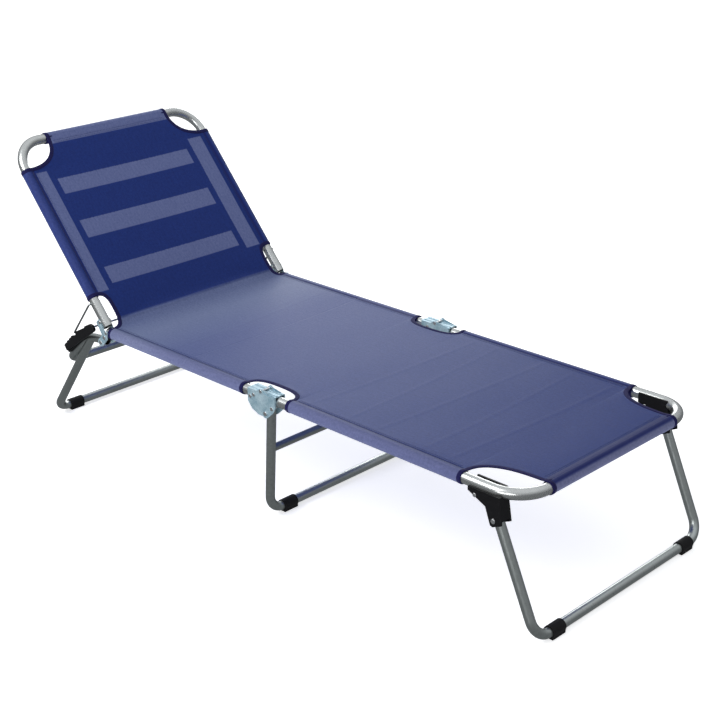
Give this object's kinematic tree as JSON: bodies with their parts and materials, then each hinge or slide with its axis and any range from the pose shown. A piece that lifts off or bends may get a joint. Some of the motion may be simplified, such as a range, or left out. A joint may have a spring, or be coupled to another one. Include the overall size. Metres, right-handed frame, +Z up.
{
  "type": "folding sun lounger",
  "caption": "Low folding beach lounger on U-shaped legs, with a mesh cover on a tube frame, a reclining backrest held by a prop wire in side racks, and a fold-over foot part.",
  "frame": {"origin": "on the floor, below the middle of the lounger's length and width", "axes": "+X towards the foot end, +Y to the left side, +Z up"},
  "size_m": [1.7372, 0.6288, 0.7334],
  "materials": {
    "frame_tube": "satin drawn tube",
    "zinc_plate": "bright zinc-plated pressed sheet",
    "zinc_wire": "zinc-plated wire",
    "rivet_steel": "bright rivet heads",
    "black_moulding": "fine-grained moulded plastic",
    "rubber_feet": "matt rubber",
    "mesh_cloth": "woven coated mesh"
  },
  "bodies": {
    "seat_frame": {"seat_tube_left": "frame_tube", "seat_tube_right": "frame_tube", "seat_end_plug_left": "black_moulding", "seat_end_plug_right": "black_moulding", "back_hinge_plate_outer_left": "zinc_plate", "back_hinge_plate_outer_right": "zinc_plate", "back_hinge_plate_inner_left": "zinc_plate", "back_hinge_plate_inner_right": "zinc_plate", "back_plate_rivets": "rivet_steel", "backrest_pivot_pins": "rivet_steel", "head_leg_pivot_pins": "rivet_steel", "mid_bracket_left": "zinc_plate", "mid_bracket_right": "zinc_plate", "mid_bracket_rivets": "rivet_steel", "mid_stop_pins": "rivet_steel", "fold_hinge_pins": "rivet_steel", "mid_leg_pivot_pins": "rivet_steel", "seat_cloth": "mesh_cloth"},
    "backrest": {"backrest_tube": "frame_tube", "backrest_lug_left": "zinc_plate", "backrest_lug_right": "zinc_plate", "backrest_lug_rivets": "rivet_steel", "backrest_cloth": "mesh_cloth"},
    "prop_wire": {"prop_wire": "zinc_wire"},
    "head_leg": {"head_leg": "frame_tube", "support_bow": "frame_tube", "bail_rack_left": "black_moulding", "bail_rack_right": "black_moulding", "rack_rivets": "rivet_steel", "head_leg_feet": "rubber_feet"},
    "mid_leg": {"mid_leg": "frame_tube", "mid_leg_crossbar": "frame_tube", "mid_leg_feet": "rubber_feet"},
    "foot_frame": {"foot_tube": "frame_tube", "foot_hinge_left": "zinc_plate", "foot_hinge_right": "zinc_plate", "foot_hinge_rivets": "rivet_steel", "foot_cloth": "mesh_cloth", "foot_leg_bracket_left": "black_moulding", "foot_leg_bracket_right": "black_moulding", "foot_bracket_rivets": "rivet_steel", "foot_leg_pivot_pins": "rivet_steel"},
    "foot_leg": {"foot_leg": "frame_tube", "foot_leg_feet": "rubber_feet"}
  },
  "joints": [
    {"name": "backrest_recline", "type": "hinge", "parent": "seat_frame", "child": "backrest", "pos_m": [-0.49816, 0, 0.296], "axis": [0, 1, 0], "range_deg": [-48.7, 0]},
    {"name": "prop_wire_swing", "type": "hinge", "parent": "backrest", "child": "prop_wire", "pos_m": [-0.54924, 0, 0.37161], "axis": [0, 1, 0], "range_deg": [0, 71.11]},
    {"name": "head_leg_fold", "type": "hinge", "parent": "seat_frame", "child": "head_leg", "pos_m": [-0.51516, 0, 0.279], "axis": [0, -1, 0], "range_deg": [0, 125]},
    {"name": "mid_leg_fold", "type": "hinge", "parent": "seat_frame", "child": "mid_leg", "pos_m": [0.09484, 0, 0.272], "axis": [0, 1, 0], "range_deg": [0, 85]},
    {"name": "foot_frame_fold", "type": "hinge", "parent": "seat_frame", "child": "foot_frame", "pos_m": [0.08184, 0, 0.3223], "axis": [0, -1, 0], "range_deg": [0, 160]},
    {"name": "foot_leg_fold", "type": "hinge", "parent": "foot_frame", "child": "foot_leg", "pos_m": [0.75184, 0, 0.247], "axis": [0, 1, 0], "range_deg": [0, 113]}
  ],
  "couplings": [
    {"joint": "prop_wire_swing", "follows": "backrest_recline", "ratio": -1.45}
  ]
}
